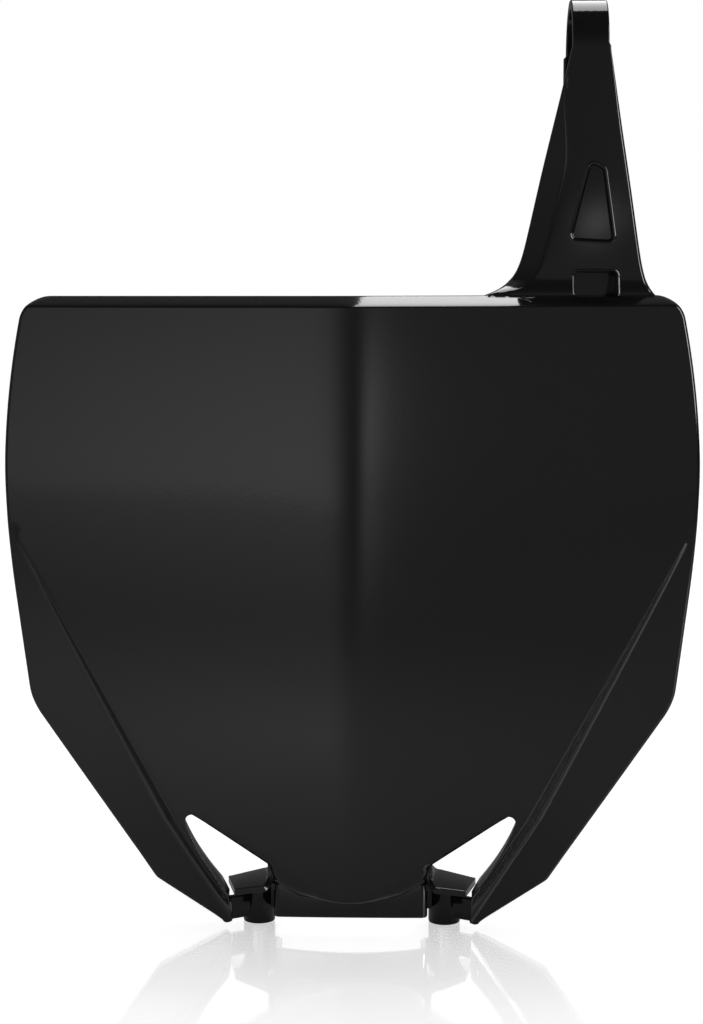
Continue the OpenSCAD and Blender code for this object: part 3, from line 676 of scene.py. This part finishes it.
# Levels and limits that these parts share
shelf_low = shield_z + shelf_gap
shelf_x = hole_in_x - corner_w
knee_in = float((shelf_low + foot_drop - hole_edge(0)) / tan(hole_angle))
shelf_end = shelf_low + tan(hole_angle) * (shelf_x - knee_in)
web_out = strut_x + web_over
web_rear = socket_y + web_past
web_bend = hole_in_x + turn_r + web_gap
bend_top = web_z + tan(web_angle) * (web_out - web_bend)
def shelf_at(x): return shelf_low + tan(hole_angle) * max(0, min(abs(x), shelf_x) - knee_in)


link_y = socket_y - side_gap
# Rings along the band, the shelf and the flange, and the radius inside the band's turned ends
band_rings, shelf_rings, flange_rings, end_turn = 45, 53, 30, 0.5
link_into, link_below, socket_sides = 2, 0.2, 64


def build_band():
    """The arched band between the sockets, with its two turned ends, and a link to each socket."""
    mid_r = band_r - wall / 2
    turn = wall / 2 + end_turn
    line_x = band_x - wall / 2
    path = []
    end = math.asin((line_x - turn) / mid_r)
    for a in np.linspace(-end, end, band_rings):
        n = (math.sin(a), -math.cos(a))
        path.append((mid_r * math.sin(a), band_r - band_y - mid_r * math.cos(a), n))
    y_end = path[-1][1]
    for side_sign in (1, -1):
        tail = []
        for a in np.linspace(0, math.pi / 2, 7)[1:]:
            tail.append((line_x - turn + turn * math.sin(a), y_end + turn * (1 - math.cos(a)),
                         (math.sin(a), -math.cos(a))))
        for y in np.linspace(y_end + turn + 1, link_y - wall, 6):
            tail.append((line_x, y, (1, 0)))
        if side_sign > 0:
            path = path + tail
        else:
            path = [(-x, y, (-n[0], n[1])) for x, y, n in tail[::-1]] + path
    out = []
    for x, y, n in path:
        low = band_z + band_arch * max(0, 1 - (x / band_x) ** 2)
        top = min(shelf_at(x) + wall / 2, shelf_end)
        a = (x + n[0] * wall / 2, y + n[1] * wall / 2)
        b = (x - n[0] * wall / 2, y - n[1] * wall / 2)
        out.append(ring_of(a, b, low, top, lambda p, v: (p[0], p[1], v), band_round))
    add(loft(out))
    link = []
    for x in np.linspace(band_x - wall / 2, socket_x - link_into, 4):
        a, b = (link_y - wall, band_z), (link_y, band_z)
        link.append([(x, p[0], p[1]) for p in
                     ring_of(a, b, band_z, web_z - link_below, lambda p, v: (p[0], v), band_round)])
    add(loft(link), True)


def build_shelf():
    """The shelf that joins the band to the shield's lower edge."""
    mid_y = ridge_y + 1.5 * wall
    out = []
    for x in np.linspace(-shelf_x, shelf_x, shelf_rings):
        f = abs(x) / shelf_x
        yf, yr = mid_y + tan(sweep) * abs(x), mix(0.9 * wall - band_y, shelf_rear, f)
        low = shelf_at(x)
        out.append([(x, p[0], p[1]) for p in
                    ring_of((yf, low), (yr, low), low, low + wall, lambda p, v: (p[0], v), shelf_round)])
    add(loft(out))


def build_web():
    """The sloping web over each socket, which turns up into the inner side of the air hole."""
    in_x, in_z = web_bend - turn_r, float(hole_edge(hole_in_x))
    upper, lower = [], []
    for x in np.linspace(strut_x + slit - 0.02, web_bend, 14):
        z = bend_top - tan(web_angle) * (x - web_bend)
        upper.append((x, z))
        lower.append((x, z - wall))
    for a in np.radians(np.linspace(0, 90, 9))[1:]:
        x, z = web_bend - turn_r * math.sin(a), bend_top + turn_r * (1 - math.cos(a))
        upper.append((x, z))
        lower.append((x - wall * math.sin(a) * 0.9, z - wall * math.cos(a)))
    for z in np.linspace(bend_top + turn_r, in_z - wall / 4, 4)[1:]:
        upper.append((in_x, z))
        lower.append((in_x - wall, z))
    bend_x, bend_y = strut_x - slit, web_front / 2
    front_x = hole_in_x + 1
    back_x = band_x - wall
    out = []
    for u, l in zip(upper, lower):
        x = (u[0] + l[0]) / 2
        if x > bend_x:
            yf = mix(bend_y, web_rear, (x - bend_x) / (2 * slit))
        elif x > front_x:
            yf = mix(web_front, bend_y, (x - front_x) / (bend_x - front_x))
        else:
            yf = mix(return_y, web_front, max(0, (x - back_x) / (front_x - back_x)))
        out.append(ring_of(u, l, yf, web_rear, lambda p, v: (p[0], v, p[1]), web_round))
    add(loft(out), True)


def build_socket():
    """The round socket under each web, with its blind bore. Its top follows the web's middle."""
    n = socket_sides
    turns = np.linspace(0, 2 * math.pi, n, endpoint=False)
    def circle(r, z): return [(socket_x + r * math.cos(a), socket_y + r * math.sin(a), z) for a in turns]
    def top_at(x): return bend_top - wall / 2 - tan(web_angle) * max(0, x - web_bend)
    profile = [(0, bore_depth), (bore_r, bore_depth), (bore_r, bore_round), (bore_r + 0.1, 0.1),
               (bore_r + bore_round, 0), (socket_r - socket_round, 0), (socket_r - 0.13, 0.13),
               (socket_r, socket_round)]
    rows = [circle(r, z) for r, z in profile]
    rows.append([(x, y, top_at(x)) for x, y, _ in circle(socket_r, 0)])
    verts = [p for r in rows for p in r]
    faces = []
    for k in range(len(rows) - 1):
        for i in range(n):
            j = (i + 1) % n
            faces.append((k * n + i, k * n + j, (k + 1) * n + j, (k + 1) * n + i))
    faces.append(tuple(range((len(rows) - 1) * n, len(rows) * n)))
    add((verts, faces), True)


def build_rib():
    """The rib from each socket to the strut."""
    p = [(strut_x + rib_start, rib_y), (strut_x + rib_start + rib_w, rib_y + rib_w),
         (socket_x + rib_w / 2, socket_y), (socket_x - rib_w / 2, socket_y - rib_w)]
    lo, hi = tip_z + tip_h, tip_z + tip_h + rib_h
    out = []
    for t in np.linspace(0, 1, 5):
        a, b = mix(np.array(p[0]), np.array(p[3]), t), mix(np.array(p[1]), np.array(p[2]), t)
        out.append(ring_of(a, b, lo, hi, lambda q, v: (q[0], q[1], v), rib_round))
    add(loft(out), True)


def build_flange():
    """The flange along the inner side of each strut."""
    foot_level, head = strut_z - flange_foot, hole_c + flange_head
    knee = web_z + flange_knee * wall
    out = []
    for z in np.linspace(foot_level, head, flange_rings):
        rear = np.interp(z, [foot_level, knee, head],
                         [flange_y + wall, flange_y + flange_depth, flange_y + wall])
        x = float(inner_x(min(z, hole_c)))
        out.append(ring_of((x + inset, z), (x + wall, z), flange_y, rear, lambda p, v: (p[0], v, p[1]),
                           flange_round))
    add(loft(out), True)


build_band()
build_shelf()
build_web()
build_socket()
build_rib()
build_flange()
verts, faces = [], []
for v, f in pieces:
    faces += [tuple(len(verts) + i for i in face) for face in f]
    verts += list(v)
foot_frame = object_from("board_foot_frame", np.array(verts), faces)
merge_gap, sharp_angle = 1e-7, 40
bm = bmesh.new()
bm.from_mesh(foot_frame.data)
bmesh.ops.remove_doubles(bm, verts=bm.verts, dist=merge_gap)
bmesh.ops.recalc_face_normals(bm, faces=bm.faces)
bm.to_mesh(foot_frame.data)
bm.free()
foot_frame.data.set_sharp_from_angle(angle=math.radians(sharp_angle))
shell = build_shell()


# Gloss black plastic. Both colours are a little darker than the record's 0.011.
tone_dark, tone_light = (0.0070, 0.0070, 0.0076, 1), (0.0090, 0.0090, 0.0098, 1)
rough_low, rough_high = 0.055, 0.10
grain_scale, grain_detail, grain_strength, grain_depth = 900, 3, 0.05, 0.0002
cloud_scale, cloud_detail = 45, 4


def noise(nt, coord, scale, detail):
    n = nt.nodes.new("ShaderNodeTexNoise")
    n.inputs["Scale"].default_value = scale
    n.inputs["Detail"].default_value = detail
    nt.links.new(coord.outputs["Object"], n.inputs["Vector"])
    return n


def plastic():
    """Wide noise varies the tone and the roughness, and fine noise gives a faint grain."""
    m = bpy.data.materials.new("gloss_black_plastic")
    m.use_nodes = True
    nt = m.node_tree
    b = nt.nodes["Principled BSDF"]
    coord = nt.nodes.new("ShaderNodeTexCoord")
    fine = noise(nt, coord, grain_scale, grain_detail)
    wide = noise(nt, coord, cloud_scale, cloud_detail)
    rough = nt.nodes.new("ShaderNodeMapRange")
    rough.inputs["To Min"].default_value = rough_low
    rough.inputs["To Max"].default_value = rough_high
    nt.links.new(wide.outputs["Fac"], rough.inputs["Value"])
    nt.links.new(rough.outputs["Result"], b.inputs["Roughness"])
    tone = nt.nodes.new("ShaderNodeMix")
    tone.data_type = "RGBA"
    tone.inputs[6].default_value = tone_dark
    tone.inputs[7].default_value = tone_light
    nt.links.new(wide.outputs["Fac"], tone.inputs[0])
    nt.links.new(tone.outputs[2], b.inputs["Base Color"])
    bump = nt.nodes.new("ShaderNodeBump")
    bump.inputs["Strength"].default_value = grain_strength
    bump.inputs["Distance"].default_value = grain_depth
    nt.links.new(fine.outputs["Fac"], bump.inputs["Height"])
    nt.links.new(bump.outputs["Normal"], b.inputs["Normal"])
    b.inputs["IOR"].default_value = 1.5
    return m


black = plastic()
for piece in (shell, foot_frame):
    piece.data.materials.append(black)
    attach(piece, "root")
    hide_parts("number_board")
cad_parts["number_board"].data.materials.clear()
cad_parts["number_board"].data.materials.append(black)

# Camera, as fitted to the photograph. The focal length and the height are in the photo's pixels, the place is
# in millimetres.
sensor_h, focal_px, photo_h_px = 24, 2040, 1024
camera_place, camera_look, camera_roll = (23.76, -690.89, 225.6), (-0.03329, 0.99305, -0.11286), -0.10
scene = bpy.context.scene
cam = bpy.data.objects.new("camera", bpy.data.cameras.new("camera"))
scene.collection.objects.link(cam)
scene.camera = cam
cam.data.sensor_fit = "VERTICAL"
cam.data.sensor_height = sensor_h
cam.data.lens = sensor_h * focal_px / photo_h_px
cam.data.clip_start = 0.01
cam.data.clip_end = 20
cam.location = metres(camera_place)
look = Vector(camera_look).normalized()
cam.rotation_euler = (look.to_track_quat("-Z", "Y").to_matrix()
                      @ Matrix.Rotation(math.radians(camera_roll), 3, "Z")).to_euler()

# Floor. To the camera it is white and mirrors the board's foot, less and less toward the camera. Near the
# foot its glow is lower, a painted shade. A mirror coat that only the camera sees is up to four times
# stronger there, so the floor is white again wherever it doesn't mirror the board. From other sides this spot
# shows as a painted shadow.
# The board's gloss mirrors a dark floor with one soft glowing patch of light, before the board's left half.
# Sizes are in metres.
floor_size, floor_drop, floor_base, floor_rough = 3, 0.0002, 0.3, 0.12
spot_at, spot_size, spot_strength = (-0.12, -0.28, 0), (0.55, 0.55, 1), 0.4
foot_at, foot_size = (0, 0.02, 0), (0.22, 0.14, 1)
glow_far, painted_shade_glow = 0.8, 0.46
mirror_rough, mirror_far, mirror_foot = 0.04, 1, 4

corners = [(-1, -1), (1, -1), (1, 1), (-1, 1)]
floor_mesh = bpy.data.meshes.new("floor")
floor_mesh.from_pydata([(x * floor_size, y * floor_size, 0) for x, y in corners], [], [(0, 1, 2, 3)])
floor = bpy.data.objects.new("floor", floor_mesh)
scene.collection.objects.link(floor)
floor.location.z = -floor_drop
floor_paint = bpy.data.materials.new("white_floor")
floor_paint.use_nodes = True
ft = floor_paint.node_tree
fb = ft.nodes["Principled BSDF"]
fb.inputs["Base Color"].default_value = (floor_base, floor_base, floor_base, 1)
fb.inputs["Roughness"].default_value = floor_rough
ray = ft.nodes.new("ShaderNodeLightPath")
where = ft.nodes.new("ShaderNodeTexCoord")


def floor_patch(kind, at, size):
    """A round gradient on the floor, 1 in its middle and 0 at its edge."""
    gradient = ft.nodes.new("ShaderNodeTexGradient")
    gradient.gradient_type = kind
    place_of = ft.nodes.new("ShaderNodeMapping")
    place_of.vector_type = "TEXTURE"
    place_of.inputs["Location"].default_value = at
    place_of.inputs["Scale"].default_value = size
    ft.links.new(where.outputs["Object"], place_of.inputs["Vector"])
    ft.links.new(place_of.outputs["Vector"], gradient.inputs["Vector"])
    return gradient


def from_far_to_foot(far, foot_value):
    """A value that changes from far to foot_value as the floor comes near the board's foot."""
    n = ft.nodes.new("ShaderNodeMapRange")
    n.inputs["To Min"].default_value = far
    n.inputs["To Max"].default_value = foot_value
    ft.links.new(near_foot.outputs["Fac"], n.inputs["Value"])
    return n


spot = floor_patch("QUADRATIC_SPHERE", spot_at, spot_size)
near_foot = floor_patch("SPHERICAL", foot_at, foot_size)
spot_level = ft.nodes.new("ShaderNodeMath")
spot_level.operation = "MULTIPLY"
spot_level.inputs[1].default_value = spot_strength
ft.links.new(spot.outputs["Fac"], spot_level.inputs[0])
glow = ft.nodes.new("ShaderNodeMix")
ft.links.new(ray.outputs["Is Camera Ray"], glow.inputs[0])
ft.links.new(spot_level.outputs[0], glow.inputs[2])
# Camera rays get less glow near the board's foot: painted shade
ft.links.new(from_far_to_foot(glow_far, painted_shade_glow).outputs["Result"], glow.inputs[3])
fb.inputs["Emission Color"].default_value = (1, 1, 1, 1)
ft.links.new(glow.outputs[0], fb.inputs["Emission Strength"])
mirror_coat = ft.nodes.new("ShaderNodeBsdfGlossy")
mirror_coat.inputs["Roughness"].default_value = mirror_rough
shine = ft.nodes.new("ShaderNodeMix")
shine.data_type = "RGBA"
shine.inputs[6].default_value = (0, 0, 0, 1)
# Camera rays only: the mirror coat grows stronger near the foot, which makes the floor white again where it
# doesn't mirror the board
ft.links.new(from_far_to_foot(mirror_far, mirror_foot).outputs["Result"], shine.inputs[7])
ft.links.new(ray.outputs["Is Camera Ray"], shine.inputs[0])
ft.links.new(shine.outputs[2], mirror_coat.inputs["Color"])
both = ft.nodes.new("ShaderNodeAddShader")
ft.links.new(fb.outputs[0], both.inputs[0])
ft.links.new(mirror_coat.outputs[0], both.inputs[1])
ft.links.new(both.outputs[0], ft.nodes["Material Output"].inputs["Surface"])
floor_mesh.materials.append(floor_paint)

# World: white to the camera, an even light to diffuse rays, and to all other rays a dark studio with soft
# round patches of light. Each patch has a direction, a sharpness, a strength and, if needed, a highest value.
dark_level, even_level = 0.015, 0.8
patches = (((-0.42, -0.905, -0.06), 22, 0.95),
           ((0.46, -0.88, 0.0), 9, 0.21),
           ((0, 1, 0.2), 10, 0.5, 0.09),
           ((-1, -0.05, 0.1), 6, 0.16),
           ((0.26, -0.965, 0.03), 220, 0.8))
world = bpy.data.worlds.new("studio")
scene.world = world
world.use_nodes = True
wt = world.node_tree
room = wt.nodes["Background"]
room.inputs["Color"].default_value = (1, 1, 1, 1)
white = wt.nodes.new("ShaderNodeBackground")
white.inputs["Color"].default_value = (1, 1, 1, 1)
even = wt.nodes.new("ShaderNodeBackground")
even.inputs["Color"].default_value = (1, 1, 1, 1)
even.inputs["Strength"].default_value = even_level
view = wt.nodes.new("ShaderNodeTexCoord")


def math_node(operation, a, b):
    n = wt.nodes.new("ShaderNodeMath")
    n.operation = operation
    for k, v in enumerate((a, b)):
        if isinstance(v, (int, float)):
            n.inputs[k].default_value = v
        else:
            wt.links.new(v, n.inputs[k])
    return n.outputs[0]


def patch(direction, sharpness, strength, most=None):
    """A soft round patch of light in one direction, which falls off as a power of e."""
    dot = wt.nodes.new("ShaderNodeVectorMath")
    dot.operation = "DOT_PRODUCT"
    dot.inputs[1].default_value = Vector(direction).normalized()
    wt.links.new(view.outputs["Generated"], dot.inputs[0])
    fall = math_node("MULTIPLY", math_node("SUBTRACT", dot.outputs["Value"], 1.0), sharpness)
    value = math_node("MULTIPLY", math_node("EXPONENT", fall, 0), strength)
    return math_node("MINIMUM", value, most) if most else value


total = dark_level
for values in patches:
    total = math_node("ADD", patch(*values), total)
wt.links.new(total, room.inputs["Strength"])
world_ray = wt.nodes.new("ShaderNodeLightPath")
soft = wt.nodes.new("ShaderNodeMixShader")
wt.links.new(world_ray.outputs["Is Diffuse Ray"], soft.inputs[0])
wt.links.new(room.outputs[0], soft.inputs[1])
wt.links.new(even.outputs[0], soft.inputs[2])
choice = wt.nodes.new("ShaderNodeMixShader")
wt.links.new(world_ray.outputs["Is Camera Ray"], choice.inputs[0])
wt.links.new(soft.outputs[0], choice.inputs[1])
wt.links.new(white.outputs[0], choice.inputs[2])
wt.links.new(choice.outputs[0], wt.nodes["World Output"].inputs["Surface"])


def softbox(name, place, size_x, size_y, radiance, turn=(0, 0, 0)):
    """A rectangular softbox of even brightness, which looks down unless it is turned. Sizes in metres."""
    lamp = bpy.data.lights.new(name, "AREA")
    lamp.shape = "RECTANGLE"
    lamp.size, lamp.size_y = size_x, size_y
    lamp.energy = radiance * math.pi * size_x * size_y
    obj = bpy.data.objects.new(name, lamp)
    scene.collection.objects.link(obj)
    obj.location = place
    obj.rotation_euler = [math.radians(a) for a in turn]
    return obj


# The box above gives the light lines on the lip and the strap. The strip at the right front gives those at
# the right sides of the recess and the pocket, and leaves the diffuse light alone.
softbox("overhead_softbox", place=(0.145, 0.775, 1.25), size_x=0.29, size_y=1.35, radiance=4.6)
strip = softbox("side_strip", place=(1.3, -0.42, 0.78), size_x=1.1, size_y=0.65, radiance=8,
                turn=(0, 90, 0))
strip.visible_diffuse = False

scene.view_settings.view_transform = "Standard"
